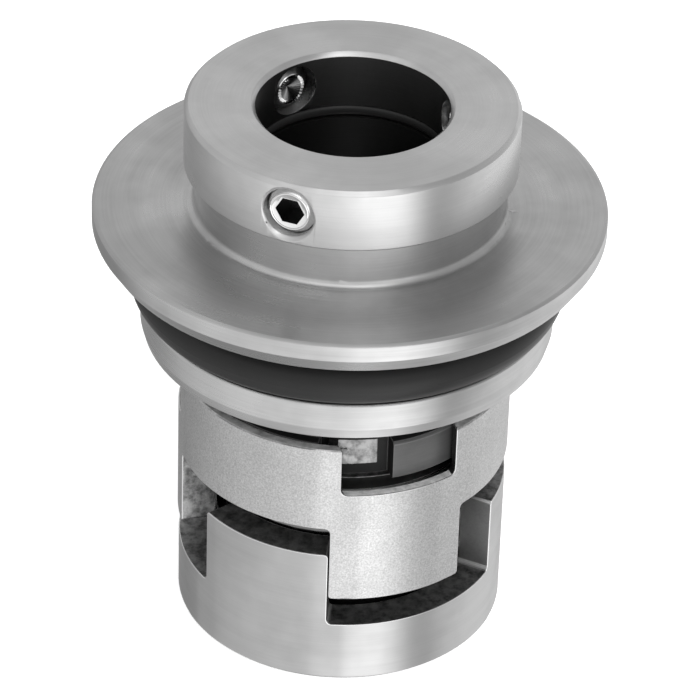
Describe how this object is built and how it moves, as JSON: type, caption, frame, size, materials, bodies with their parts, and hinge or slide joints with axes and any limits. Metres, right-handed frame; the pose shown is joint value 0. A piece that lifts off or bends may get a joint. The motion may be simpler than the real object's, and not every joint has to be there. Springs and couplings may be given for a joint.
{
  "type": "cartridge mechanical seal",
  "caption": "Cartridge face seal for a pump shaft: drive collar on a sleeve, flanged carrier with O-ring, spring-loaded seal ring between interlocking claw drivers.",
  "frame": {"origin": "centre of the lower driver's end face, on the shaft axis", "axes": "+Z along the shaft axis, from the lower driver towards the drive collar; -Y is the front of the picture"},
  "size_m": [0.0588, 0.0588, 0.0671],
  "materials": {
    "turned_steel": "turned, satin to bright",
    "blasted_steel": "cast and blasted, matt",
    "screw_steel": "bright",
    "spring_steel": "drawn wire, satin",
    "carbide": "lapped and ground, dark grey",
    "black_rubber": "moulded, soft gloss"
  },
  "bodies": {
    "carrier": {"seal_carrier": "turned_steel", "carrier_o_ring": "black_rubber", "stationary_seat": "carbide", "seat_o_ring": "black_rubber", "seat_pin": "turned_steel"},
    "seal_head": {"rotating_seal_ring": "carbide", "ring_o_ring": "black_rubber", "upper_driver": "blasted_steel"},
    "spring": {"seal_spring": "spring_steel", "spring_washer": "turned_steel"},
    "sleeve": {"drive_collar": "turned_steel", "shaft_sleeve": "turned_steel", "shaft_o_ring": "black_rubber", "lower_driver": "turned_steel", "retaining_ring": "spring_steel"},
    "screw_1": {"set_screw_1": "screw_steel"},
    "screw_2": {"set_screw_2": "screw_steel"},
    "screw_3": {"set_screw_3": "screw_steel"}
  },
  "joints": [
    {"name": "rotor_turn", "type": "hinge", "parent": "carrier", "child": "seal_head", "pos_m": [0, 0, 0.039], "axis": [0, 0, 1], "continuous": true},
    {"name": "drive_play", "type": "hinge", "parent": "seal_head", "child": "spring", "pos_m": [0, 0, 0.015], "axis": [0, 0, 1], "range_deg": [-20.4, 0]},
    {"name": "sleeve_lift", "type": "slide", "parent": "spring", "child": "sleeve", "axis": [0, 0, 1], "range_m": [0, 0.0034], "stiffness_N_per_m": 6000, "springref_m": -0.015, "deforming": ["seal_spring"]},
    {"name": "screw_1_travel", "type": "slide", "parent": "sleeve", "child": "screw_1", "axis": [-0.3584, -0.9336, 0], "range_m": [-0.0003, 0.0007]},
    {"name": "screw_2_travel", "type": "slide", "parent": "sleeve", "child": "screw_2", "axis": [0.9877, 0.1564, 0], "range_m": [-0.0003, 0.0007]},
    {"name": "screw_3_travel", "type": "slide", "parent": "sleeve", "child": "screw_3", "axis": [-0.6293, 0.7771, 0], "range_m": [-0.0003, 0.0007]}
  ]
}
